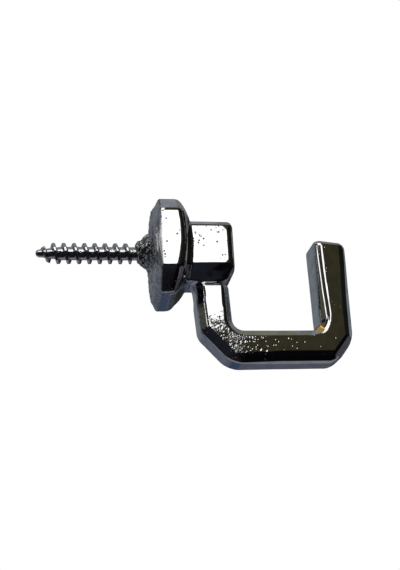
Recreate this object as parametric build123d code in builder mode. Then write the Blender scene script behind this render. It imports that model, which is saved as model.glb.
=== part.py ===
"""Square screw hook: a cast body with an octagonal flange and a squared U arm, on a steel wood screw.

Millimetres, +Z up. The wall is the plane X = 0 and the hook reaches out along +X.
The origin is the point where the axis of the screw meets the flange's back face.
"""

import os
from math import atan, degrees, hypot, radians, tan

from build123d import *

# Flange: an octagonal plate with a round seat behind it and a crown in front that falls in two slopes
flange_width = 18.6
flange_corner_cut = 3.7
flange_drop = 0.4
seat_radius = 8.9
seat_bevel_length = 1.2
plate_length = 3.2
crown_rise = 0.5
crown_foot_radius = 10.3
crown_top_radius = 5.0
crown_length = 3.0
crown_shoulder_radius = 7.7
crown_shoulder_length = 2.05

# Boss of cast metal that grips the screw behind the flange
boss_length = 3.0
boss_rise = 0.25
boss_mouth_radius = 1.7
boss_shoulder_at = 1.6
boss_shoulder_radius = 2.85
boss_skirt_radius = 4.2

# Square block in front of the flange
block_end = 15.2
block_half_width = 4.85
block_top = 5.15
block_side_depth = 3.95
block_bottom = 6.65
block_foot_half_width = 3.4
block_draft = 0.8
block_top_bevel = 0.9
block_end_bevel = 0.5
block_toe_bevel = 1.5

# Bar of the hook: a rectangle with bevelled edges
bar_thickness = 6.1
bar_width = 7.4
bar_bevel = 1.3

# Course of the bar, seen from the side
rear_arm_x = 10.95
rear_arm_lean = 2.9
run_depth = 19.25
front_arm_x = 34.3
front_arm_tip = 1.4
rear_outer_cut_reach = 5.45
rear_outer_cut_height = 6.0
front_outer_cut_reach = 3.3
front_outer_cut_height = 4.2
outer_corner_rounding = 4.5
rear_inner_radius = 2.2
front_inner_cut = 1.2
tip_fall = 0.6
tip_rounding = 1.35

# Waist where the rear arm leaves the block
waist_length = 1.05
waist_inset = 0.6
slot_corner_radius = 0.9

# Wood screw
screw_reach = 21.9
core_radius = 1.27
crest_radius = 2.0
thread_pitch = 1.945
thread_base_width = 0.75
thread_crest_width = 0.3
thread_bite = 0.25
thread_level_off = 0.3
point_turns = 2
point_crest_radius = 1.2
point_length = 4.85
nose_radius = 0.6

# End of the screw inside the casting, flattened on two sides so that it can't turn
root_depth = 6.0
root_flat_length = 3.5
root_flat_distance = 1.0

# Distances that follow from the sizes above
plate_end = seat_bevel_length + plate_length
crown_end = plate_end + crown_length
bar_half = bar_thickness / 2
waist_bottom = block_bottom + waist_length
run_bottom = run_depth + bar_half
run_top = run_depth - bar_half


def rear_arm_centre(depth):
    """Distance from the wall to the middle of the leaning rear arm, at a depth below the screw."""
    return rear_arm_x + (depth - block_bottom) * tan(radians(rear_arm_lean))


# Outline of the flange's plate, a square with cut corners, set a little below the screw's axis
with BuildSketch() as octagon:
    with Locations((0, -flange_drop)):
        Rectangle(flange_width, flange_width)
    chamfer(octagon.vertices(), length=flange_corner_cut)

# Crown: turned on its own axis, level with the block, and trimmed by the outline of the plate
crown_axis = Axis((0, 0, crown_rise), (1, 0, 0))
with BuildPart() as crown:
    with BuildSketch(Plane.XY.offset(crown_rise)):
        with BuildLine():
            Polyline(
                (plate_end, crown_foot_radius),
                (seat_bevel_length, crown_foot_radius),
                (seat_bevel_length, 0),
                (crown_end, 0),
                (crown_end, crown_top_radius),
                (plate_end + crown_shoulder_length, crown_shoulder_radius),
                close=True,
            )
        make_face()
    revolve(axis=crown_axis)
    with BuildSketch(Plane.YZ.offset(seat_bevel_length)):
        add(octagon.sketch)
    extrude(amount=plate_length + crown_length, mode=Mode.INTERSECT)

# Flange: the round seat widens into the plate, and the crown stands on the plate
with BuildPart() as flange:
    with BuildSketch(Plane.YZ):
        with Locations((0, -flange_drop)):
            Circle(seat_radius)
    with BuildSketch(Plane.YZ.offset(seat_bevel_length)):
        add(octagon.sketch)
    loft(ruled=True)
    extrude(flange.faces().sort_by(Axis.X)[-1], amount=plate_length)
    add(crown.part)

# Boss: a steep mouth on a wider skirt that runs out on the flange's back
boss_axis = Axis((0, 0, boss_rise), (1, 0, 0))
with BuildPart() as boss:
    with BuildSketch(Plane.XY.offset(boss_rise)):
        with BuildLine():
            Polyline(
                (-boss_shoulder_at, boss_shoulder_radius),
                (-boss_length, boss_mouth_radius),
                (-boss_length, 0),
                (seat_bevel_length, 0),
                (seat_bevel_length, boss_skirt_radius),
                (0, boss_skirt_radius),
                close=True,
            )
        make_face()
    revolve(axis=boss_axis)

# Block, drafted towards its free end, with bevelled upper edges, toe and rim
with BuildPart() as block:
    with BuildSketch(Plane.YZ.offset(plate_end)):
        with BuildLine():
            Polyline(
                (-block_half_width, block_top),
                (block_half_width, block_top),
                (block_half_width, -block_side_depth),
                (block_foot_half_width, -block_bottom),
                (-block_foot_half_width, -block_bottom),
                (-block_half_width, -block_side_depth),
                close=True,
            )
        make_face()
    extrude(amount=block_end - plate_end, taper=block_draft)
    top_edges = block.faces().sort_by(Axis.Z)[-1].edges().sort_by(Axis.Y)
    chamfer([top_edges[0], top_edges[-1]], length=block_top_bevel)
    chamfer(block.faces().sort_by(Axis.X)[-1].edges().sort_by(Axis.Z)[0], length=block_toe_bevel)
    chamfer(block.faces().sort_by(Axis.X)[-1].edges(), length=block_end_bevel)

# Bar: its side view, thickened both ways and bevelled along every edge
rear_outer = rear_arm_centre(run_bottom) - bar_half
rear_inner = rear_arm_centre(run_top) + bar_half
front_outer = front_arm_x + bar_half
front_inner = front_arm_x - bar_half
with BuildPart() as bar:
    with BuildSketch(Plane.XZ) as side_view:
        with BuildLine():
            Polyline(
                (rear_arm_centre(waist_bottom) - bar_half, -waist_bottom),
                (rear_outer, rear_outer_cut_height - run_bottom),
                (rear_outer + rear_outer_cut_reach, -run_bottom),
                (front_outer - front_outer_cut_reach, -run_bottom),
                (front_outer, front_outer_cut_height - run_bottom),
                (front_outer, front_arm_tip),
                (front_inner, front_arm_tip + tip_fall),
                (front_inner, front_inner_cut - run_top),
                (front_inner - front_inner_cut, -run_top),
                (rear_inner, -run_top),
                (rear_arm_centre(waist_bottom) + bar_half, -waist_bottom),
                close=True,
            )
        make_face()
        front_corner = (front_outer, front_outer_cut_height - run_bottom)
        outer_corners = side_view.vertices().sort_by(Axis.Y)[:2]
        outer_corners += side_view.vertices().sort_by_distance(front_corner)[:1]
        fillet(outer_corners, radius=outer_corner_rounding)
        inner_corner = side_view.vertices().sort_by_distance((rear_inner, -run_top))[0]
        fillet(inner_corner, radius=rear_inner_radius)
    extrude(amount=bar_width / 2, both=True)
    tip = bar.faces().sort_by(Axis.Z)[-1]
    waist_face = bar.faces().sort_by_distance((rear_arm_centre(waist_bottom), 0, -waist_bottom))[0]
    side_edges = bar.edges().filter_by(Axis.Y, reverse=True) - tip.edges() - waist_face.edges()
    chamfer(side_edges, length=bar_bevel)
    fillet(bar.faces().sort_by(Axis.Z)[-1].edges(), radius=tip_rounding)

# Waist: the bar's section draws in on three sides just under the block
with BuildPart() as waist:
    with BuildSketch(Plane.XY.offset(-waist_bottom)) as full_section:
        with Locations((rear_arm_centre(waist_bottom), 0)):
            Rectangle(bar_thickness, bar_width)
        chamfer(full_section.vertices(), length=bar_bevel)
    with BuildSketch(Plane.XY.offset(-block_bottom)) as drawn_in_section:
        with Locations((rear_arm_centre(block_bottom) - waist_inset / 2, 0)):
            Rectangle(bar_thickness - waist_inset, bar_width - 2 * waist_inset)
        chamfer(drawn_in_section.vertices(), length=bar_bevel)
    loft(ruled=True)
    extrude(waist.faces().sort_by(Axis.Z)[-1], amount=block_side_depth)

# Hollow corner at the top of the slot, between the underside of the block and the rear arm
slot_front = rear_arm_centre(block_bottom) - bar_half
slot_corner_end = rear_arm_centre(block_bottom + slot_corner_radius) - bar_half
with BuildPart() as slot_corner:
    with BuildSketch(Plane.XZ):
        with BuildLine():
            Polyline(
                (slot_corner_end, -block_bottom - slot_corner_radius),
                (rear_arm_x, -block_bottom - slot_corner_radius),
                (rear_arm_x, -block_side_depth),
                (slot_front - slot_corner_radius, -block_side_depth),
                (slot_front - slot_corner_radius, -block_bottom),
            )
            RadiusArc(
                (slot_front - slot_corner_radius, -block_bottom),
                (slot_corner_end, -block_bottom - slot_corner_radius),
                slot_corner_radius,
            )
        make_face()
    extrude(amount=bar_width / 2 - bar_bevel, both=True)

# Screw: core with a blunt point and a flattened root
with BuildPart() as wood_screw:
    with BuildSketch(Plane.XY):
        with BuildLine():
            Polyline(
                (-screw_reach, 0),
                (-screw_reach, nose_radius),
                (point_length - screw_reach, core_radius),
                (root_depth, core_radius),
                (root_depth, 0),
                close=True,
            )
        make_face()
    revolve(axis=Axis.X)
    with BuildSketch(Plane.YZ.offset(root_depth - root_flat_length)):
        with Locations((core_radius, 0), (-core_radius, 0)):
            Rectangle(2 * (core_radius - root_flat_distance), 2 * core_radius)
    extrude(amount=root_flat_length, mode=Mode.SUBTRACT)

# Thread: a ridge on a helix, which climbs a cone over the point and then runs level to the boss
ridge_height = crest_radius - core_radius
ridge_flare = (thread_base_width - thread_crest_width) / ridge_height
ridge_depth = ridge_height + thread_bite
ridge_foot_width = thread_crest_width + ridge_flare * ridge_depth
level_start = point_length + thread_level_off - screw_reach
point_start = level_start - point_turns * thread_pitch
point_slope = (crest_radius - point_crest_radius) / (point_turns * thread_pitch)


def ridge_section(start, radius):
    """Corners of the ridge's section in the plane of the axis, hanging inwards from its crest."""
    return [
        (start - thread_crest_width / 2, radius),
        (start + thread_crest_width / 2, radius),
        (start + ridge_foot_width / 2, radius - ridge_depth),
        (start - ridge_foot_width / 2, radius - ridge_depth),
    ]


with BuildPart() as level_thread:
    with BuildLine():
        level_path = Helix(
            pitch=thread_pitch,
            height=-boss_length - ridge_foot_width / 2 - level_start,
            radius=crest_radius,
            center=(level_start, 0, 0),
            direction=(1, 0, 0),
        )
    with BuildSketch(Plane.XZ):
        Polygon(*ridge_section(level_start, crest_radius), align=None)
    sweep(path=level_path, is_frenet=True)

with BuildPart() as point_thread:
    with BuildLine():
        point_path = Helix(
            pitch=thread_pitch * hypot(1, point_slope),
            height=point_turns * thread_pitch,
            radius=point_crest_radius,
            center=(point_start, 0, 0),
            direction=(1, 0, 0),
            cone_angle=degrees(atan(point_slope)),
        )
    with BuildSketch(Plane.XZ):
        Polygon(*ridge_section(point_start, point_crest_radius), align=None)
    sweep(path=point_path, is_frenet=True)

with BuildPart() as hook_body:
    add(flange.part)
    add(boss.part)
    add(block.part)
    add(bar.part)
    add(waist.part)
    add(slot_corner.part)
    add(wood_screw.part, mode=Mode.SUBTRACT)

with wood_screw:
    add(level_thread.part)
    add(point_thread.part)

os.makedirs("parts", exist_ok=True)
hook_body.part.label = "hook_body"
wood_screw.part.label = "wood_screw"
export_step(hook_body.part, "parts/hook_body.step")
export_step(wood_screw.part, "parts/wood_screw.step")
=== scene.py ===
"""Square screw hook dressed for its render: a chrome-plated casting on a plated wood screw.

Metres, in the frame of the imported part: +X leads away from the wall, +Z is up, and the wall is X = 0.
The camera stands in front of the hook, towards -Y, a little to its left and below it.
"""

import logging
import math
from dataclasses import dataclass
from enum import Enum

import bpy
import numpy as np
from mathutils import Matrix, Vector

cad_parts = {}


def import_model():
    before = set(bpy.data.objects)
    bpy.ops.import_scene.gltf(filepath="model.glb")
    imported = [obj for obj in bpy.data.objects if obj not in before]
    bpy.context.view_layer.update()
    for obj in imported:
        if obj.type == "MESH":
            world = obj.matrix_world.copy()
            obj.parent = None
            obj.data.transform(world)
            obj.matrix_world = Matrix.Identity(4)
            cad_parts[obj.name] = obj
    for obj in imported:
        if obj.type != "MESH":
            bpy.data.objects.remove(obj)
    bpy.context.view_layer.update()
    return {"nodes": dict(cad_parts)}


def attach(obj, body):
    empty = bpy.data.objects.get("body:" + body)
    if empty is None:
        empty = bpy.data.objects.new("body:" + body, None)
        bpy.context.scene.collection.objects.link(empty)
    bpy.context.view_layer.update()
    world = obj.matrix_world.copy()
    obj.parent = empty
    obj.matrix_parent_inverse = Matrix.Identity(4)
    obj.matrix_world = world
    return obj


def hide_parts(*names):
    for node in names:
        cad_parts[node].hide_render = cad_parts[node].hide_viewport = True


LOG = logging.getLogger("screw_hook")
MM = 0.001
Colour = tuple[float, float, float]


# Fields of solid forms, in millimetres: negative inside, positive outside


def round_cut(first: np.ndarray, second: np.ndarray, radius: float) -> np.ndarray:
    """Keeps what two forms share, with a rounded edge where their surfaces meet.

    Args:
        first: Field of one form.
        second: Field of the other form.
        radius: How far from the edge the rounding starts on each surface.

    Returns:
        The field of the shared form.
    """
    reach = np.hypot(np.maximum(first + radius, 0), np.maximum(second + radius, 0))
    return np.minimum(-radius, np.maximum(first, second)) + reach


def round_join(first: np.ndarray, second: np.ndarray, radius: float) -> np.ndarray:
    """Joins two forms, with a hollow fillet where their surfaces meet.

    Args:
        first: Field of one form.
        second: Field of the other form.
        radius: How far from the corner the fillet starts on each surface.

    Returns:
        The field of the joined form.
    """
    return -round_cut(-first, -second, radius)


def turned_rounding(radius: float, turn: float) -> float:
    """Gives the rounding distance that makes an arc of a radius at an edge.

    Args:
        radius: Radius of the arc.
        turn: Angle between the normals of the two surfaces, in degrees.

    Returns:
        The distance for round_cut or round_join.
    """
    return radius * math.tan(math.radians(turn / 2)) * math.sin(math.radians(turn))


def fade(value: np.ndarray, start: float, end: float) -> np.ndarray:
    """Rises smoothly from 0 at start to 1 at end, where end may be the lower number."""
    step = np.clip((value - start) / (end - start), 0, 1)
    return step * step * (3 - 2 * step)


@dataclass(frozen=True)
class Ripple:
    """A smooth, uneven surface: a sum of waves in directions drawn from a fixed seed."""

    seed: int
    wavelength: float
    height: float
    waves: int = 14

    def at(self, points: np.ndarray) -> np.ndarray:
        """Height of the ripple at each point.

        Args:
            points: Points in millimetres, one to a row.

        Returns:
            One height for each point, in millimetres.
        """
        draw = np.random.default_rng(self.seed)
        total = np.zeros(len(points))
        for _ in range(self.waves):
            heading = draw.normal(size=3)
            heading *= 2 * math.pi / (self.wavelength * draw.uniform(0.7, 1.6) * np.linalg.norm(heading))
            total += np.sin(points @ heading + draw.uniform(0, 2 * math.pi))
        return total * self.height / math.sqrt(self.waves / 2)


@dataclass(frozen=True)
class Patch:
    """A round region of the casting, in millimetres, and how strongly something marks it."""

    place: tuple[float, float, float]
    radius: float
    level: float

    def at(self, points: np.ndarray) -> np.ndarray:
        """Level at each point: full in the middle, and none from the radius outwards."""
        gap = np.linalg.norm(points - np.array(self.place), axis=1)
        return self.level * fade(gap, self.radius, self.radius * 0.35)


# Shader and geometry trees


class Num:
    """A number socket of a node tree, on which Python's operators add Math nodes."""

    def __init__(self, tree: "Tree", socket: bpy.types.NodeSocket) -> None:
        """Wraps an output socket of a tree."""
        self.tree = tree
        self.socket = socket

    def math(self, operation: str, *values: "Num | float") -> "Num":
        """Adds one Math node.

        Args:
            operation: The node's operation.
            values: Its inputs after this one.

        Returns:
            The node's result.
        """
        sockets = {i: v for i, v in enumerate((self, *values))}
        node = self.tree.node("ShaderNodeMath", {"operation": operation}, sockets)
        return Num(self.tree, node.outputs[0])

    def flipped(self, operation: str, value: "float") -> "Num":
        """Adds a Math node whose first input is a plain number and whose second is this one."""
        node = self.tree.node("ShaderNodeMath", {"operation": operation}, {0: value, 1: self})
        return Num(self.tree, node.outputs[0])

    def __add__(self, other: "Num | float") -> "Num":
        """self + other."""
        return self.math("ADD", other)

    __radd__ = __add__

    def __sub__(self, other: "Num | float") -> "Num":
        """self - other."""
        return self.math("SUBTRACT", other)

    def __rsub__(self, other: float) -> "Num":
        """other - self."""
        return self.flipped("SUBTRACT", other)

    def __mul__(self, other: "Num | float") -> "Num":
        """self * other."""
        return self.math("MULTIPLY", other)

    __rmul__ = __mul__

    def __truediv__(self, other: "Num | float") -> "Num":
        """self / other."""
        return self.math("DIVIDE", other)

    def __rtruediv__(self, other: float) -> "Num":
        """other / self."""
        return self.flipped("DIVIDE", other)

    def low(self, other: "Num | float") -> "Num":
        """The lower of two values."""
        return self.math("MINIMUM", other)

    def high(self, other: "Num | float") -> "Num":
        """The higher of two values."""
        return self.math("MAXIMUM", other)

    def clipped(self) -> "Num":
        """The value held between 0 and 1."""
        return self.high(0.0).low(1.0)

    def rise(self, start: float, end: float) -> "Num":
        """Rises smoothly from 0 at start to 1 at end, where end may be the lower number."""
        step = ((self - start) / (end - start)).clipped()
        return step * step * (3.0 - 2.0 * step)


class Tree:
    """A node tree that is filled from Python."""

    def __init__(self, nodes: bpy.types.NodeTree) -> None:
        """Takes over a tree and empties it."""
        self.tree = nodes
        self.tree.nodes.clear()

    def node(self, kind: str, settings: dict, sockets: dict) -> bpy.types.Node:
        """Adds one node.

        Args:
            kind: The node's type.
            settings: Its properties, and stops for a colour ramp, set before its sockets.
            sockets: Values or links for its inputs, by name, identifier or place.

        Returns:
            The node.
        """
        made = self.tree.nodes.new(kind)
        for key, value in settings.items():
            if key == "stops":
                self._stops(made.color_ramp, value)
            else:
                setattr(made, key, value)
        for key, value in sockets.items():
            target = self._input(made, key)
            if isinstance(value, Num):
                self.tree.links.new(value.socket, target)
            elif isinstance(value, bpy.types.NodeSocket):
                self.tree.links.new(value, target)
            else:
                target.default_value = value
        return made

    def num(self, node: bpy.types.Node, output: int | str = 0) -> Num:
        """Wraps one output of a node."""
        return Num(self, node.outputs[output])

    @staticmethod
    def _input(made: bpy.types.Node, key: int | str) -> bpy.types.NodeSocket:
        """Finds an input by its place, identifier or name."""
        if isinstance(key, int):
            return made.inputs[key]
        for socket in made.inputs:
            if socket.identifier == key:
                return socket
        return made.inputs[key]

    @staticmethod
    def _stops(ramp: bpy.types.ColorRamp, stops: list[tuple[float, float]]) -> None:
        """Sets a ramp's stops, each a place and a grey level."""
        while len(ramp.elements) < len(stops):
            ramp.elements.new(1.0)
        for element, (place, level) in zip(ramp.elements, stops):
            element.position = place
            element.color = (level, level, level, 1.0)


class Slot(Enum):
    """The record's material slots."""

    CASTING = "chrome_casting"
    SCREW = "chrome_screw"


@dataclass(frozen=True)
class ChromeFinish:
    """Bright plate over metal, with pits, orange peel and a duller skin where the metal is rough."""

    slot: Slot
    colour: Colour
    tarnish: Colour
    # Orange of the painted warm reflection on one corner facet.
    reflected_warm_colour: Colour
    roughness: float
    rough_skin: float
    satin_roughness: float
    pit_spacing: float
    pit_depth: float
    pit_share: float
    grain_size: float
    grain_depth: float
    speckle_depth: float
    mottle: float
    # How near black the pits above z = -8 mm are painted.
    pit_blackening: float

    def material(self) -> bpy.types.Material:
        """Builds the material.

        Returns:
            A node material that reads Object coordinates and the skin attribute.
        """
        made = bpy.data.materials.new(self.slot.value)
        made.use_nodes = True
        tree = Tree(made.node_tree)
        place = tree.node("ShaderNodeTexCoord", {}, {}).outputs["Object"]
        in_mm = tree.node("ShaderNodeVectorMath", {"operation": "SCALE"}, {"Vector": place, "Scale": 1 / MM}).outputs[0]
        skin, satin, pitted, speckled, wear_and_reflection = (
            tree.num(tree.node("ShaderNodeAttribute", {"attribute_name": name}, {}), "Fac")
            for name in ("skin", "satin", "pitted", "speckled", "wear_and_reflection")
        )

        def noise(size: float, detail: float) -> Num:
            """Noise of a size in millimetres."""
            sockets = {"Vector": in_mm, "Scale": 1 / size, "Detail": detail}
            return tree.num(tree.node("ShaderNodeTexNoise", {}, sockets), "Fac")

        def pits(spacing: float, share: "Num | float") -> Num:
            """Round pits in some of the cells of a Voronoi pattern."""
            cells = tree.node("ShaderNodeTexVoronoi", {}, {"Vector": in_mm, "Scale": 1 / spacing})
            luck = tree.num(tree.node("ShaderNodeSeparateColor", {}, {"Color": cells.outputs["Color"]}), "Red")
            open_cell = (share - luck).rise(0.0, 0.03)
            return tree.num(cells, "Distance").rise(0.42, 0.12) * open_cell

        cloud = noise(3.2, 2.0)
        share = skin * 0.55 + cloud.rise(0.45, 0.75) * self.pit_share + pitted * 0.75
        small = pits(self.pit_spacing, share)
        large = pits(self.pit_spacing * 2.0, share * 0.6)
        pit = small.high(large)
        grain = noise(self.grain_size, 3.0)
        height = grain * skin * (self.grain_depth / self.pit_depth) - pit
        height = height + noise(0.75, 1.0) * speckled * (self.speckle_depth / self.pit_depth)
        bump = tree.node("ShaderNodeBump", {}, {"Height": height, "Distance": self.pit_depth * MM, "Strength": 1.0})
        smear = noise(1.1, 4.0)
        rough = self.roughness + smear.rise(0.4, 0.8) * 0.03 + skin * (self.rough_skin + grain * 0.12) + pit * 0.04
        rough = rough + satin * self.satin_roughness
        dull = (skin * noise(0.7, 3.0).rise(0.42, 0.62) * 0.85).high(pit * 0.15)
        dull = dull.high(noise(1.8, 4.0).rise(0.4, 0.62) * self.mottle).clipped()
        tint = tree.node(
            "ShaderNodeMix",
            {"data_type": "RGBA"},
            {"Factor_Float": dull, "A_Color": (*self.colour, 1.0), "B_Color": (*self.tarnish, 1.0)},
        )
        level = tree.num(tree.node("ShaderNodeSeparateXYZ", {}, {0: in_mm}), 2)
        # Pits on the flange and block, above z = -8 mm, are painted near black.
        blackened_pits = tree.node(
            "ShaderNodeMix",
            {"data_type": "RGBA"},
            {
                "Factor_Float": (pit * level.rise(-9.0, -8.0) * self.pit_blackening).clipped(),
                "A_Color": tint.outputs[2],
                "B_Color": (0.02, 0.019, 0.016, 1.0),
            },
        )
        # Painted warm reflection: one corner facet, marked by its attribute, mixes in an orange colour.
        warm_reflection_mix = tree.node(
            "ShaderNodeMix",
            {"data_type": "RGBA"},
            {
                "Factor_Float": wear_and_reflection * (0.7 + noise(0.3, 2.0).rise(0.4, 0.6) * 0.3),
                "A_Color": blackened_pits.outputs[2],
                "B_Color": (*self.reflected_warm_colour, 1.0),
            },
        )
        shader = tree.node(
            "ShaderNodeBsdfPrincipled",
            {},
            {
                "Base Color": warm_reflection_mix.outputs[2],
                "Metallic": 1.0,
                "Roughness": rough.clipped(),
                "Normal": bump.outputs["Normal"],
            },
        )
        tree.node("ShaderNodeOutputMaterial", {}, {"Surface": shader.outputs[0]})
        return made


@dataclass
class HookCasting:
    """The cast body: flange, boss, block and the squared U of bevelled bar. Sizes in millimetres."""

    flange_half: float = 9.3
    flange_cut_half: float = 10.5359
    flange_upper_cut_half: float = 11.0
    flange_drop: float = 0.52
    seat_radius: float = 8.9
    seat_bevel_length: float = 1.2
    plate_end: float = 4.4
    crown_end: float = 7.4
    crown_rise: float = 0.5
    crown_centre: tuple[float, float] = (-2.279, 2.487)
    crown_flatness: float = 0.8
    crown_squeeze: float = 1.15
    crown_tilt: float = 0.62
    crown_fullness: float = 0.2
    crown_radius: float = 10.0
    boss_length: float = 3.0
    boss_rise: float = 0.25
    boss_mouth_radius: float = 1.7
    boss_slope: float = 0.82
    boss_fillet: float = 0.9
    block_end: float = 15.2
    block_half_width: float = 4.85
    block_top: float = 5.12
    block_side_depth: float = 4.2
    block_bottom: float = 6.65
    block_foot_half_width: float = 3.4
    block_draft: float = 0.4
    block_top_bevel: float = 0.8
    block_edge: float = 0.2
    block_end_rounding: float = 1.1
    block_toe_bevel: float = 1.5
    bar_half: float = 3.05
    bar_half_width: float = 3.7
    bar_bevel: float = 1.3
    tip_bevel_loss: float = 0.42
    foot_bevel_gain: float = 0.2
    front_arm_fullness: float = 0.06
    rear_arm_x: float = 10.95
    rear_arm_lean: float = 2.9
    run_depth: float = 19.25
    front_arm_x: float = 34.3
    front_arm_tip: float = 1.1
    tip_fall: float = 0.75
    tip_rounding: float = 1.2
    rear_cut: tuple[float, float] = (5.45, 6.0)
    front_cut: tuple[float, float] = (3.3, 4.2)
    outer_corner_rounding: float = 4.5
    front_corner_rounding: float = 3.2
    rear_fullness: float = 0.2
    rear_inner_radius: float = 2.2
    front_inner_cut: float = 1.2
    waist_length: float = 1.05
    waist_inset: float = 0.6
    slot_rounding: float = 1.1
    edge: float = 0.45
    bar_edge: float = 0.35
    rear_bar_edge: float = 0.13
    hollow: float = 0.35
    voxel: float = 0.22
    swell: Ripple = Ripple(seed=11, wavelength=9.0, height=0.012)
    peel: Ripple = Ripple(seed=5, wavelength=2.6, height=0.0016)
    crust: Ripple = Ripple(seed=23, wavelength=0.9, height=0.13)
    lumps: Ripple = Ripple(seed=31, wavelength=2.6, height=0.10)
    growth: float = 0.13
    base_growth: float = 0.1
    belly: float = 1.6
    pitted: tuple[Patch, ...] = (
        Patch((1.7, -9.3, 3.2), 1.0, 0.8),
        Patch((2.0, -9.3, -1.6), 1.1, 0.5),
        Patch((1.9, -9.3, -3.9), 1.3, 0.7),
        Patch((7.4, -4.85, 2.2), 1.6, 0.8),
        Patch((8.2, -4.85, 0.2), 1.7, 0.6),
        Patch((8.9, -4.85, -1.0), 1.2, 0.4),
        Patch((10.5, -4.85, 4.1), 1.6, 0.8),
        Patch((13.1, -4.85, 3.6), 1.6, 0.9),
        Patch((7.6, -4.85, 3.9), 1.2, 0.7),
        Patch((10.6, -3.7, -16.2), 3.4, 1.5),
        Patch((13.5, -3.7, -18.2), 4.0, 1.5),
        Patch((18.0, -3.7, -19.5), 4.4, 0.9),
        Patch((23.5, -3.7, -19.3), 5.0, 0.32),
        Patch((30.0, -3.7, -19.5), 4.0, 0.18),
    )
    # Where the painted warm reflection lies: the inner corner of the front arm and the run, on the facet facing up,
    # left and forward.
    wear_and_reflection: Patch = Patch((31.1, -3.05, -16.1), 2.4, 1.0)
    reflecting_facet: tuple[float, float, float] = (-0.5, -0.7071, 0.5)
    speckled: tuple[Patch, ...] = (
        Patch((11.0, -3.7, -15.6), 3.6, 0.9),
        Patch((13.0, -3.7, -18.0), 3.2, 0.4),
    )

    def rear_arm_centre(self, depth: np.ndarray | float) -> np.ndarray | float:
        """Distance from the wall to the middle of the leaning rear arm, at a depth below the screw."""
        return self.rear_arm_x + (depth - self.block_bottom) * math.tan(math.radians(self.rear_arm_lean))

    @staticmethod
    def _side(x: np.ndarray, z: np.ndarray, start: tuple, end: tuple) -> np.ndarray:
        """Distance outside the line from start to end, with the metal on the line's left."""
        run, climb = end[0] - start[0], end[1] - start[1]
        return ((x - start[0]) * climb - (z - start[1]) * run) / math.hypot(run, climb)

    def flange(self, points: np.ndarray) -> np.ndarray:
        """Field of the octagonal plate with its round seat and domed crown."""
        x, y, z = points.T
        down = z + self.flange_drop
        diagonal = (np.abs(y) + np.abs(down)) / math.sqrt(2)
        flats = round_cut(np.abs(y) - self.flange_half, np.abs(down) - self.flange_half, self.edge)
        cut_half = np.where(down > 0, self.flange_upper_cut_half, self.flange_cut_half)
        plate = round_cut(flats, diagonal - cut_half, self.edge)
        gauge = np.maximum(np.maximum(np.abs(y), np.abs(down)) / self.flange_half, diagonal / cut_half)
        radius = np.hypot(y, down)
        along = np.clip(x / self.seat_bevel_length, -0.3, 1.0)
        seat_rim = self.seat_radius + (radius / np.maximum(gauge, 1e-6) - self.seat_radius) * along
        flare = (radius / np.maximum(gauge, 1e-6) - self.seat_radius) / self.seat_bevel_length
        seat = (radius - seat_rim) / np.hypot(1, flare)
        crown_along, crown_out = self.crown_centre
        lifted = np.hypot(y, z - self.crown_rise)
        rim = fade(lifted, 6.0, 8.6)
        octagon = radius + (gauge * self.flange_half - radius) * self.crown_flatness
        rise = down / np.maximum(radius, 1.0)
        octagon = octagon + self.crown_squeeze * rise**2 - self.crown_tilt * rise - self.crown_fullness
        spread = lifted + (octagon - lifted) * rim
        dome = np.hypot(x - crown_along, spread - crown_out) - self.crown_radius
        body = round_cut(plate, seat, 0.12)
        body = round_cut(body, dome + np.maximum(3.0 - x, 0.0) * -2.0, self.edge)
        return round_cut(round_cut(body, x - self.crown_end, self.edge), -x, 0.2)

    def boss(self, points: np.ndarray) -> np.ndarray:
        """Field of the rough cone of metal that grips the screw behind the flange."""
        x, y, z = points.T
        radius = np.hypot(y, z - self.boss_rise)
        cone = (radius - self.boss_mouth_radius - (x + self.boss_length) * self.boss_slope) / math.hypot(
            1, self.boss_slope
        )
        return np.maximum(round_cut(cone, -x - self.boss_length, 0.35), x - 1.0)

    def block(self, points: np.ndarray) -> np.ndarray:
        """Field of the drafted square block."""
        x, y, z = points.T
        draft = (x - self.plate_end) * math.tan(math.radians(self.block_draft))
        side = np.abs(y) - self.block_half_width + draft
        top = z - self.block_top + draft
        bevel = (side + top + self.block_top_bevel) / math.sqrt(2)
        fall = self.block_bottom - self.block_side_depth
        inset = self.block_half_width - self.block_foot_half_width
        foot = (side * fall - (z + self.block_side_depth - draft) * inset) / math.hypot(fall, inset)
        under = -z - self.block_bottom + draft
        body = round_cut(round_cut(side, bevel, self.block_edge), top, self.block_edge)
        body = round_cut(body, foot, self.block_edge)
        body = round_cut(body, under, self.block_edge)
        end = x - self.block_end
        toe = (end + under + self.block_toe_bevel) / math.sqrt(2)
        body = round_cut(body, end, self.block_end_rounding)
        body = round_cut(body, toe, self.edge)
        return np.maximum(body, 2.0 - x)

    def bar(self, points: np.ndarray) -> np.ndarray:
        """Field of the bevelled bar, bent in a squared U."""
        x, y, z = points.T
        top, bottom = self.bar_half - self.run_depth, -self.bar_half - self.run_depth
        waist_depth = self.block_bottom + self.waist_length
        waist = fade(z, -waist_depth, -self.block_bottom) * self.waist_inset * (x < 20.0)
        rear_high = self.rear_arm_centre(waist_depth)
        rear_low = self.rear_arm_centre(-bottom)
        rear_floor = self.rear_arm_centre(-top)
        outer_low, inner_low = rear_low - self.bar_half, rear_floor + self.bar_half
        front_out, front_in = self.front_arm_x + self.bar_half, self.front_arm_x - self.bar_half
        rear_reach, rear_climb = self.rear_cut
        front_reach, front_climb = self.front_cut
        rear_turn = math.degrees(math.atan2(rear_climb, rear_reach))
        front_turn = math.degrees(math.atan2(front_climb, front_reach))
        corner = self.outer_corner_rounding

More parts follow.
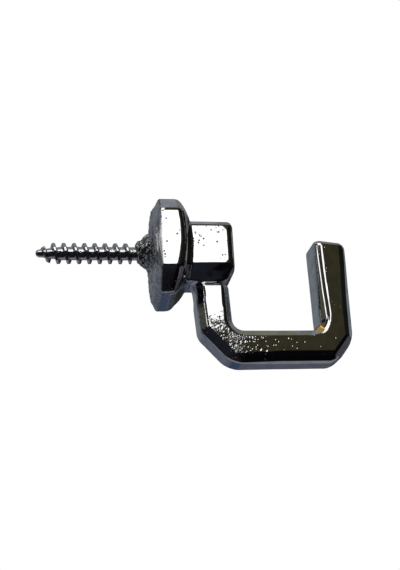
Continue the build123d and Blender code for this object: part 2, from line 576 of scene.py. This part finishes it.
        left = self._side(x, z, (rear_high - self.bar_half, -waist_depth), (outer_low, bottom + rear_climb))
        rear = self._side(x, z, (outer_low, bottom + rear_climb), (outer_low + rear_reach, bottom))
        base = bottom - self.base_growth - z
        front = self._side(x, z, (front_out - front_reach, bottom), (front_out, bottom + front_climb))
        left = left - self.rear_fullness * fade(z, -9.0, -11.0)
        rear = rear - self.rear_fullness
        outer = round_cut(left, rear, self.edge)
        outer = round_cut(outer, base, turned_rounding(corner, rear_turn))
        toe = round_cut(base, front, turned_rounding(self.front_corner_rounding, front_turn))
        toe = round_cut(toe, x - front_out, turned_rounding(corner, 90 - front_turn))
        outer = np.where(x > 20.0, toe, outer)

        inner_rear = self._side(x, z, (inner_low, top), (rear_high + self.bar_half, -waist_depth)) + waist
        inner_floor = z - top
        inner_front = front_in - self.front_arm_fullness * fade(z, -15.0, -13.0) - x
        inner_cut = self._side(x, z, (front_in, top + self.front_inner_cut), (front_in - self.front_inner_cut, top))
        inner = np.where(
            x > 22.0,
            round_join(round_join(inner_front, inner_cut, 0.2), inner_floor, 0.2),
            round_join(inner_rear, inner_floor, self.rear_inner_radius),
        )
        profile = np.maximum(np.maximum(outer, inner), np.minimum(z + 5.0, 20.0 - x))
        side = np.abs(y) - self.bar_half_width + waist
        on_arm = fade(x, 29.0, 31.5)
        inside = fade(x, 34.5, 33.5) * fade(z, -18.5, -16.5)
        bevel_size = self.bar_bevel - self.tip_bevel_loss * fade(z, -13.0, 0.0) * on_arm
        bevel_size = bevel_size + self.foot_bevel_gain * fade(z, -8.0, -15.0) * on_arm * inside
        bevel = (profile + side + bevel_size) / math.sqrt(2)
        edge = self.rear_bar_edge + (self.bar_edge - self.rear_bar_edge) * fade(x, 15.0, 24.0)
        body = round_cut(round_cut(profile, bevel, edge), side, edge)
        lift = self.front_arm_tip + self.tip_fall * (front_out - x) / (2 * self.bar_half)
        return round_cut(body, z - lift, self.tip_rounding)

    def skin(self, points: np.ndarray) -> np.ndarray:
        """How rough the cast surface is at each point, from 0, polished, to 1, as cast."""
        x, y, z = points.T
        back = fade(x, 0.9, 0.1) * fade(np.hypot(y, z), 9.6, 8.2)
        back = back * (0.2 + 0.8 * fade(np.hypot(y, z), 6.4, 5.0))
        corner = fade(np.hypot(x - 10.0, z + 19.5), 9.0, 3.0) * 0.1
        # Along the rear arm's left edge below the block, the skin is rougher and darker in patches.
        arm_left = self.rear_arm_centre(-z) - self.bar_half
        inner = fade(x - arm_left, 1.35, 1.0) * fade(z, -6.0, -8.0) * fade(z, -21.0, -17.0) * 0.45
        arm_right = self.rear_arm_centre(-z) + self.bar_half
        outer = fade(x - arm_right, -1.2, -0.9) * fade(x, 18.0, 15.0) * fade(z, -7.0, -8.5) * 0.3
        return np.clip(np.maximum(np.maximum(back, corner), np.maximum(inner, outer)), 0, 1)

    @staticmethod
    def marks(points: np.ndarray, patches: tuple[Patch, ...]) -> np.ndarray:
        """The strongest level of some patches at each point."""
        return np.max([patch.at(points) for patch in patches], axis=0)

    def form(self, points: np.ndarray) -> np.ndarray:
        """Field of the whole casting, with its uneven surface.

        Args:
            points: Points in millimetres, one to a row.

        Returns:
            Distance outside the surface, in millimetres.
        """
        x, y, z = points.T
        body = round_join(self.flange(points), self.block(points), self.hollow)
        slot = np.where(x < 11.5, self.slot_rounding, self.hollow)
        body = round_join(body, self.bar(points), slot)
        rough = fade(x, 0.5, -0.6)
        boss = self.boss(points) + rough * self.lumps.at(points) * 0.6
        body = round_join(body, boss, self.boss_fillet)
        body = body + rough * self.crust.at(points) * 0.8
        edge_wear = self.swell.at(points) + self.peel.at(points)
        return body + edge_wear + self.rubbed(points) - self.growth * fade(x, 0.0, 1.0)

    def rubbed(self, points: np.ndarray) -> np.ndarray:
        """How far polishing has lowered the corners of the flange's and the block's side faces."""
        x, y, z = points.T
        faces = (
            (2.95, -0.2, 2.1, 6.0, self.flange_half),
            (10.3, 0.15, 4.4, 4.35, self.block_half_width),
        )
        total = np.zeros(len(points))
        for middle_x, middle_z, half_x, half_z, width in faces:
            spread = (np.abs((x - middle_x) / half_x) ** 2.5 + np.abs((z - middle_z) / half_z) ** 2.5) ** 0.4
            near = fade(np.abs(y), width - 0.5, width - 0.25) * fade(np.abs(y), width + 0.6, width + 0.4)
            total += near * self.belly * np.minimum(np.maximum(spread - 1.0, 0.0), 0.25) ** 2
        return total

    def slope(self, points: np.ndarray) -> np.ndarray:
        """Gradient of the form at each point."""
        step = 0.01
        sides = []
        for axis in np.eye(3) * step:
            sides.append((self.form(points + axis) - self.form(points - axis)) / (2 * step))
        return np.stack(sides, 1)

    def settle(self, points: np.ndarray) -> tuple[np.ndarray, np.ndarray]:
        """Moves points onto the surface of the form.

        Args:
            points: Points near the surface, in millimetres.

        Returns:
            The points on the surface, and the outward normal at each.
        """
        for _ in range(7):
            slope = self.slope(points)
            steep = np.maximum((slope**2).sum(1), 0.15)
            step = np.clip(self.form(points) / steep, -0.35, 0.35)
            points = points - slope * step[:, None]
        slope = self.slope(points)
        return points, slope / np.maximum(np.linalg.norm(slope, axis=1), 1e-9)[:, None]

    def build(self, node: bpy.types.Object, finish: bpy.types.Material) -> bpy.types.Object:
        """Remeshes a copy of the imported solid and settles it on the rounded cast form.

        Args:
            node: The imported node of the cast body.
            finish: Its material.

        Returns:
            The finished piece.
        """
        mesh = node.data.copy()
        piece = bpy.data.objects.new("hook_casting", mesh)
        bpy.context.scene.collection.objects.link(piece)
        weld = piece.modifiers.new("weld", "WELD")
        weld.merge_threshold = 1e-6
        grid = piece.modifiers.new("grid", "REMESH")
        grid.mode = "VOXEL"
        grid.voxel_size = self.voxel * MM
        grid.use_smooth_shade = True
        evaluated = piece.evaluated_get(bpy.context.evaluated_depsgraph_get())
        fine = bpy.data.meshes.new_from_object(evaluated)
        piece.modifiers.clear()
        piece.data = fine
        fine.name = "hook_casting"
        bpy.data.meshes.remove(mesh)
        count = len(fine.vertices)
        places = np.zeros(count * 3, np.float32)
        fine.vertices.foreach_get("co", places)
        settled, normals = self.settle(places.reshape(-1, 3).astype(float) / MM)
        fine.vertices.foreach_set("co", (settled * MM).astype(np.float32).ravel())
        faces_front = fade(-normals[:, 1], 0.9, 0.97)
        # Mask of the facet facing up, left and forward, which gets the painted warm reflection.
        faces_corner = fade(normals @ np.array(self.reflecting_facet), 0.90, 0.97)
        layers = {
            "skin": self.skin(settled),
            "satin": fade(settled[:, 0], 1.5, 1.25) * fade(settled[:, 0], -0.4, 0.0),
            "pitted": self.marks(settled, self.pitted) * faces_front,
            "speckled": self.marks(settled, self.speckled) * faces_front,
            "wear_and_reflection": self.marks(settled, (self.wear_and_reflection,)) * faces_corner,
        }
        for name, values in layers.items():
            layer = fine.attributes.new(name, "FLOAT", "POINT")
            layer.data.foreach_set("value", values.astype(np.float32))
        fine.polygons.foreach_set("use_smooth", [True] * len(fine.polygons))
        fine.update()
        fine.normals_split_custom_set_from_vertices(normals.astype(np.float32).tolist())
        fine.materials.clear()
        fine.materials.append(finish)
        LOG.info("hook_casting: %d vertices, %d faces", count, len(fine.polygons))
        return piece


@dataclass
class WoodScrew:
    """The screw: a core with a blunt point, and a thread that follows a helix. Sizes in millimetres."""

    reach: float = 21.9
    root_depth: float = 6.0
    root_flat_length: float = 3.5
    root_flat_distance: float = 1.0
    core_radius: float = 1.27
    crest_radius: float = 2.0
    pitch: float = 1.945
    base_width: float = 1.0
    crest_width: float = 0.42
    level_start: float = -16.75
    point_crest_radius: float = 1.2
    point_turns: float = 2.0
    point_growth_turns: float = 0.85
    point_length: float = 4.85
    nose_length: float = 0.55
    nose_radius: float = 0.7
    thread_end: float = -3.6
    unevenness: float = 0.07
    rows: int = 620
    columns: int = 60

    def tree(self) -> bpy.types.NodeTree:
        """Builds the Geometry Nodes tree that turns a grid into the threaded screw.

        Returns:
            The node group.
        """
        group = bpy.data.node_groups.new("screw_thread", "GeometryNodeTree")
        face = group.interface
        for name in ("Reach", "Root Depth", "Core Radius", "Crest Radius", "Pitch", "Base Width", "Crest Width"):
            face.new_socket(name, in_out="INPUT", socket_type="NodeSocketFloat")
        for name in ("Rows", "Columns", "Seed"):
            face.new_socket(name, in_out="INPUT", socket_type="NodeSocketInt")
        face.new_socket("Material", in_out="INPUT", socket_type="NodeSocketMaterial")
        face.new_socket("Geometry", in_out="OUTPUT", socket_type="NodeSocketGeometry")
        tree = Tree(group)
        given = tree.node("NodeGroupInput", {}, {})
        size = {socket.name: Num(tree, socket) for socket in given.outputs if socket.name}
        grid = tree.node(
            "GeometryNodeMeshGrid",
            {},
            {"Size X": 1.0, "Size Y": 1.0, "Vertices X": size["Rows"], "Vertices Y": size["Columns"]},
        )
        place = tree.node("ShaderNodeSeparateXYZ", {}, {0: tree.node("GeometryNodeInputPosition", {}, {}).outputs[0]})
        share = tree.num(place, 0) + 0.5
        turn = tree.num(place, 1) + 0.5
        along = share * (size["Reach"] + size["Root Depth"]) - size["Reach"]
        from_tip = along + size["Reach"]

        cone = self.nose_radius + (from_tip - self.nose_length) * (
            (self.core_radius - self.nose_radius) / (self.point_length - self.nose_length)
        )
        ahead = (1.0 - from_tip / self.nose_length).clipped()
        nose = (1.0 - ahead * ahead).high(0.0).math("SQRT")
        core = cone.low(size["Core Radius"]) * nose

        point_start = self.level_start - self.point_turns * self.pitch
        climb = (self.crest_radius - self.point_crest_radius) / (self.point_growth_turns * self.pitch)
        crest = (self.point_crest_radius + (along - point_start) * climb).low(size["Crest Radius"])
        winding = (along - self.level_start) / size["Pitch"] - turn + 0.25
        off_centre = (winding + 0.5).math("FRACT") - 0.5
        distance = (off_centre * size["Pitch"]).math("ABSOLUTE")
        half_base, half_crest = size["Base Width"] * 0.5, size["Crest Width"] * 0.5
        flank = ((half_base - distance) / (half_base - half_crest)).clipped()
        ridge = flank * flank * (3.0 - 2.0 * flank)
        around = turn * (2 * math.pi)
        drift = tree.node("ShaderNodeCombineXYZ", {}, {0: along * 0.55, 1: around.math("COSINE"), 2: around.math("SINE")})
        noise = tree.node(
            "ShaderNodeTexNoise",
            {"noise_dimensions": "4D"},
            {"Vector": drift.outputs[0], "W": size["Seed"] * 1.7, "Scale": 1.6, "Detail": 2.0},
        )
        wear_and_reflection = (tree.num(noise, "Fac") - 0.5) * (2 * self.unevenness)
        live = along.rise(point_start - 0.9, point_start - 0.1) * along.rise(self.thread_end, self.thread_end - 0.35)
        radius = core + ridge * (crest - core + wear_and_reflection).high(0.0) * live
        flat = self.root_flat_distance / around.math("COSINE").math("ABSOLUTE").high(0.05)
        on_root = along.rise(self.root_depth - self.root_flat_length - 0.05, self.root_depth - self.root_flat_length)
        radius = radius.low(flat + (1.0 - on_root) * 10.0) * (1.0 - share.math("GREATER_THAN", 0.99999))
        spot = tree.node(
            "ShaderNodeCombineXYZ",
            {},
            {0: along * MM, 1: radius * around.math("COSINE") * MM, 2: radius * around.math("SINE") * MM},
        )
        bent = tree.node("GeometryNodeSetPosition", {}, {"Geometry": grid.outputs["Mesh"], "Position": spot.outputs[0]})
        sealed = tree.node("GeometryNodeMergeByDistance", {}, {"Geometry": bent.outputs[0], "Distance": 2e-6})
        turned = tree.node("GeometryNodeFlipFaces", {}, {"Mesh": sealed.outputs[0]})
        smooth = tree.node("GeometryNodeSetShadeSmooth", {}, {"Geometry": turned.outputs[0]})
        real = tree.node("GeometryNodeRealizeInstances", {}, {"Geometry": smooth.outputs[0]})
        dressed = tree.node(
            "GeometryNodeSetMaterial", {}, {"Geometry": real.outputs[0], "Material": size["Material"]}
        )
        tree.node("NodeGroupOutput", {}, {"Geometry": dressed.outputs[0]})
        return group

    def build(self, finish: bpy.types.Material) -> bpy.types.Object:
        """Runs the tree and keeps its result as a plain mesh.

        Args:
            finish: The screw's material.

        Returns:
            The finished piece.
        """
        seed_mesh = bpy.data.meshes.new("screw_seed")
        piece = bpy.data.objects.new("threaded_screw", seed_mesh)
        bpy.context.scene.collection.objects.link(piece)
        group = self.tree()
        modifier = piece.modifiers.new("thread", "NODES")
        modifier.node_group = group
        sizes = {
            "Reach": self.reach,
            "Root Depth": self.root_depth,
            "Core Radius": self.core_radius,
            "Crest Radius": self.crest_radius,
            "Pitch": self.pitch,
            "Base Width": self.base_width,
            "Crest Width": self.crest_width,
            "Rows": self.rows,
            "Columns": self.columns,
            "Seed": 3,
            "Material": finish,
        }
        for item in group.interface.items_tree:
            if item.in_out == "INPUT":
                modifier[item.identifier] = sizes[item.name]
        evaluated = piece.evaluated_get(bpy.context.evaluated_depsgraph_get())
        solid = bpy.data.meshes.new_from_object(evaluated)
        piece.modifiers.clear()
        piece.data = solid
        solid.name = "threaded_screw"
        bpy.data.meshes.remove(seed_mesh)
        places = np.zeros(len(solid.vertices) * 3, np.float32)
        solid.vertices.foreach_get("co", places)
        x = places.reshape(-1, 3)[:, 0] / MM
        skin = solid.attributes.new("skin", "FLOAT", "POINT")
        skin.data.foreach_set("value", (0.10 + 0.4 * fade(x, -5.5, -3.0)).astype(np.float32))
        LOG.info("threaded_screw: %d vertices, %d faces", len(solid.vertices), len(solid.polygons))
        return piece


@dataclass(frozen=True)
class Card:
    """A patch of the studio that the chrome mirrors: ranges of a unit direction, and a light level."""

    name: str
    colour: Colour
    x: tuple[float, float] = (-2.0, 2.0)
    y: tuple[float, float] = (-2.0, 2.0)
    z: tuple[float, float] = (-2.0, 2.0)
    soft: float = 0.03


@dataclass
class Studio:
    """The floor, the white background, the lamps and the tent of cards that the chrome mirrors."""

    centre: Colour = (0.0075, 0.0, -0.0067)
    tent_radius: float = 1.5
    floor_depth: float = -0.15
    floor_colour: Colour = (0.82, 0.82, 0.81)
    cards: tuple[Card, ...] = (
        Card("room", (0.046, 0.040, 0.0225)),
        Card("back low", (0.134, 0.148, 0.19), y=(0.1, 2.0), z=(-0.28, 0.3), soft=0.015),
        Card("front low", (0.098, 0.108, 0.135), x=(-0.02, 2.0), y=(0.1, 2.0), z=(-0.28, 0.0), soft=0.015),
        Card("back left", (0.193, 0.214, 0.24), y=(0.1, 2.0), z=(-0.05, 0.72), soft=0.08),
        Card("back right", (0.032, 0.033, 0.033), x=(0.08, 2.0), y=(0.3, 2.0), z=(-0.05, 0.55), soft=0.08),
        Card("upper right", (0.21, 0.22, 0.235), x=(0.15, 2.0), y=(-0.1, 2.0), z=(0.47, 0.95), soft=0.05),
        Card("back lower", (0.10, 0.12, 0.165), y=(0.1, 2.0), z=(-0.75, -0.28), soft=0.015),
        Card("blue floor", (0.040, 0.063, 0.125), x=(-0.1, 0.122), y=(0.1, 2.0), z=(-0.75, -0.28), soft=0.015),
        Card("horizon", (0.006, 0.006, 0.007), x=(-0.05, 0.31), y=(0.85, 2.0), z=(-0.19, 0.2), soft=0.03),
        Card("gold light", (0.85, 0.85, 0.85), x=(-0.62, -0.24), y=(-0.25, 0.3), z=(0.8, 2.0), soft=0.04),
        Card("right dark", (0.012, 0.011, 0.009), x=(0.42, 2.0), y=(-0.85, 0.05), z=(-0.1, 0.7), soft=0.06),
        Card("right light", (0.21, 0.245, 0.275), x=(0.78, 2.0), y=(0.1, 0.6), z=(0.1, 0.6), soft=0.05),
        Card("ceiling", (0.31, 0.328, 0.36), z=(0.87, 2.0), soft=0.03),
        Card("warm ceiling", (0.236, 0.23, 0.176), x=(0.175, 2.0), z=(0.87, 2.0), soft=0.02),
        Card("below", (0.003, 0.003, 0.004), y=(-2.0, 0.2), z=(-2.0, 0.16), soft=0.05),
        Card("below left", (0.015, 0.0165, 0.023), x=(-2.0, 0.172), y=(-2.0, 0.2), z=(-2.0, 0.1), soft=0.01),
        Card("low right", (0.077, 0.079, 0.09), x=(0.6, 2.0), y=(-0.5, 2.0), z=(-0.75, -0.15), soft=0.05),
        Card("floor", (0.002, 0.0018, 0.003), z=(-2.0, -0.75), soft=0.05),
        Card("floor left", (0.012, 0.011, 0.015), x=(-2.0, 0.155), z=(-2.0, -0.75), soft=0.04),
        Card("floor back", (0.25, 0.25, 0.275), y=(0.12, 2.0), z=(-2.0, -0.5), soft=0.05),
        Card("olive strip", (0.09, 0.088, 0.066), x=(-2.0, -0.85), y=(-0.5, 0.0), z=(0.1, 0.5), soft=0.04),
        Card("softbox", (1.9, 1.9, 1.9), x=(-0.12, 0.20), y=(-2.0, -0.5), z=(0.302, 0.46), soft=0.008),
        Card("softbox foot", (1.9, 1.9, 1.9), x=(-0.12, 0.11), y=(-2.0, -0.5), z=(0.22, 0.33), soft=0.012),
        Card("softbox head", (1.9, 1.9, 1.9), x=(-0.5, 0.07), y=(-2.0, -0.3), z=(0.44, 0.8), soft=0.02),
        Card("light strip", (1.7, 1.7, 1.7), x=(-0.80, -0.66), y=(-2.0, -0.3), z=(0.2, 0.37), soft=0.02),
        Card("high grey panel", (0.42, 0.47, 0.55), x=(-2.0, -0.37), y=(-2.0, 0.1), z=(0.385, 0.45), soft=0.006),
        Card("grey panel", (0.42, 0.47, 0.55), x=(-0.87, -0.37), y=(-2.0, -0.04), z=(0.366, 0.45), soft=0.006),
    )

    def tent(self) -> bpy.types.Object:
        """Builds the sphere whose inside the chrome mirrors; the camera doesn't see it."""
        mesh = bpy.data.meshes.new("studio_tent")
        tent = bpy.data.objects.new("studio_tent", mesh)
        bpy.context.scene.collection.objects.link(tent)
        import bmesh
        shell = bmesh.new()
        bmesh.ops.create_uvsphere(shell, u_segments=64, v_segments=32, radius=self.tent_radius)
        shell.to_mesh(mesh)
        shell.free()
        tent.location = self.centre
        made = bpy.data.materials.new("studio_tent")
        made.use_nodes = True
        tree = Tree(made.node_tree)
        place = tree.node("ShaderNodeTexCoord", {}, {}).outputs["Object"]
        heading = tree.node("ShaderNodeVectorMath", {"operation": "NORMALIZE"}, {0: place}).outputs[0]
        parts = tree.node("ShaderNodeSeparateXYZ", {}, {0: heading})
        axes = [tree.num(parts, i) for i in range(3)]
        colour = None
        for card in self.cards:
            if colour is None:
                colour = (*card.colour, 1.0)
                continue
            mask = None
            for axis, (low, high) in zip(axes, (card.x, card.y, card.z)):
                for edge, way in ((low, 1), (high, -1)):
                    if abs(edge) < 2.0:
                        side = axis.rise(edge - way * card.soft, edge + way * card.soft)
                        mask = side if mask is None else mask * side
            mixed = tree.node(
                "ShaderNodeMix",
                {"data_type": "RGBA"},
                {"Factor_Float": mask, "A_Color": colour, "B_Color": (*card.colour, 1.0)},
            )
            colour = mixed.outputs[2]
        glow = tree.node("ShaderNodeEmission", {}, {"Color": colour, "Strength": 1.0})
        tree.node("ShaderNodeOutputMaterial", {}, {"Surface": glow.outputs[0]})
        mesh.materials.append(made)
        for ray in ("camera", "diffuse", "shadow", "transmission", "volume_scatter"):
            setattr(tent, f"visible_{ray}", False)
        return tent

    def floor(self) -> bpy.types.Object:
        """Builds the pale floor under the hook."""
        mesh = bpy.data.meshes.new("floor")
        half = 1.4
        corners = [(-half, -half), (half, -half), (half, half), (-half, half)]
        mesh.from_pydata([(x, y, self.floor_depth) for x, y in corners], [], [(0, 1, 2, 3)])
        floor = bpy.data.objects.new("floor", mesh)
        bpy.context.scene.collection.objects.link(floor)
        made = bpy.data.materials.new("floor")
        made.use_nodes = True
        tree = Tree(made.node_tree)
        shader = tree.node(
            "ShaderNodeBsdfPrincipled", {}, {"Base Color": (*self.floor_colour, 1.0), "Roughness": 0.9}
        )
        tree.node("ShaderNodeOutputMaterial", {}, {"Surface": shader.outputs[0]})
        mesh.materials.append(made)
        floor.visible_glossy = False
        return floor

    def world(self) -> None:
        """Makes the background white to the camera and to mirrored rays, and a soft fill for the rest."""
        world = bpy.data.worlds.new("studio")
        bpy.context.scene.world = world
        world.use_nodes = True
        tree = Tree(world.node_tree)
        path = tree.node("ShaderNodeLightPath", {}, {})
        seen = tree.num(path, "Is Camera Ray").high(tree.num(path, "Is Glossy Ray"))
        seen = seen.high(tree.num(path, "Is Transmission Ray"))
        mixed = tree.node(
            "ShaderNodeMix",
            {"data_type": "RGBA"},
            {"Factor_Float": seen, "A_Color": (0.62, 0.63, 0.65, 1.0), "B_Color": (1.0, 1.0, 1.0, 1.0)},
        )
        back = tree.node("ShaderNodeBackground", {}, {"Color": mixed.outputs[2], "Strength": 1.0})
        tree.node("ShaderNodeOutputWorld", {}, {"Surface": back.outputs[0]})

    def lamp(self) -> bpy.types.Object:
        """Adds the soft lamp above that gives the floor its shadow."""
        light = bpy.data.lights.new("key", "AREA")
        light.shape = "DISK"
        light.size = 0.5
        light.energy = 4.5
        lamp = bpy.data.objects.new("key", light)
        bpy.context.scene.collection.objects.link(lamp)
        lamp.location = (-0.25, -0.45, 0.85)
        aim = Vector(self.centre) - lamp.location
        lamp.rotation_euler = aim.to_track_quat("-Z", "Y").to_euler()
        lamp.visible_glossy = False
        return lamp

    def build(self) -> None:
        """Sets up everything around the hook."""
        self.tent()
        self.floor()
        self.world()
        self.lamp()
        bpy.context.scene.view_settings.view_transform = "Standard"
        LOG.info("studio: %d cards", len(self.cards))


@dataclass(frozen=True)
class Viewpoint:
    """Where the camera stands, in degrees and in pixels of a frame 400 wide."""

    turn: float = 8.55
    climb: float = 19.55
    roll: float = 2.82
    distance: float = 950.0
    across: float = 0.89
    up: float = 30.73
    pixel: float = 0.193
    aim_x: float = 9.592
    sensor: float = 36.0
    frame_width: float = 400.0

    def build(self) -> bpy.types.Object:
        """Adds the camera.

        Returns:
            The camera's object.
        """
        turn, climb, roll = (math.radians(v) for v in (self.turn, self.climb, self.roll))
        level = Vector((math.cos(turn), -math.sin(turn), 0.0))
        ahead = Vector(
            (math.sin(turn) * math.cos(climb), math.cos(turn) * math.cos(climb), math.sin(climb))
        )
        over = level.cross(ahead)
        right = level * math.cos(roll) - over * math.sin(roll)
        top = level * math.sin(roll) + over * math.cos(roll)
        place = Vector((self.aim_x, 0.0, 0.0)) - self.pixel * (
            self.across * right + self.up * top + self.distance * ahead
        )
        data = bpy.data.cameras.new("camera")
        data.sensor_fit = "HORIZONTAL"
        data.sensor_width = self.sensor
        data.lens = self.sensor * self.distance / self.frame_width
        data.clip_start = 0.005
        data.clip_end = 20.0
        camera = bpy.data.objects.new("camera", data)
        bpy.context.scene.collection.objects.link(camera)
        axes = Matrix((right, top, -ahead)).transposed().to_4x4()
        camera.matrix_world = Matrix.Translation(place * MM) @ axes
        bpy.context.scene.camera = camera
        return camera


CASTING_CHROME = ChromeFinish(
    slot=Slot.CASTING,
    colour=(0.66, 0.67, 0.69),
    tarnish=(0.12, 0.115, 0.09),
    reflected_warm_colour=(0.95, 0.57, 0.14),
    roughness=0.03,
    rough_skin=0.05,
    satin_roughness=0.24,
    pit_spacing=0.5,
    pit_depth=0.02,
    pit_share=0.16,
    grain_size=0.45,
    grain_depth=0.09,
    speckle_depth=0.006,
    mottle=0.2,
    pit_blackening=0.95,
)
SCREW_CHROME = ChromeFinish(
    slot=Slot.SCREW,
    colour=(0.60, 0.60, 0.60),
    tarnish=(0.12, 0.115, 0.10),
    reflected_warm_colour=(0.95, 0.5, 0.12),
    roughness=0.07,
    rough_skin=0.25,
    satin_roughness=0.0,
    pit_spacing=0.45,
    pit_depth=0.03,
    pit_share=0.2,
    grain_size=0.5,
    grain_depth=0.06,
    speckle_depth=0.0,
    mottle=0.0,
    pit_blackening=0.0,
)


def main() -> None:
    """Builds the hook, dresses it and sets up the studio."""
    logging.basicConfig(level=logging.INFO, format="%(name)s: %(message)s")
    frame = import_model()
    casting = HookCasting().build(frame["nodes"]["hook_body"], CASTING_CHROME.material())
    screw = WoodScrew().build(SCREW_CHROME.material())
    for piece, node, slot in (
        (casting, "hook_body", Slot.CASTING),
        (screw, "wood_screw", Slot.SCREW),
    ):
        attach(piece, "root")
        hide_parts(node)
    Studio().build()
    Viewpoint().build()


if __name__ == "__main__":
    main()
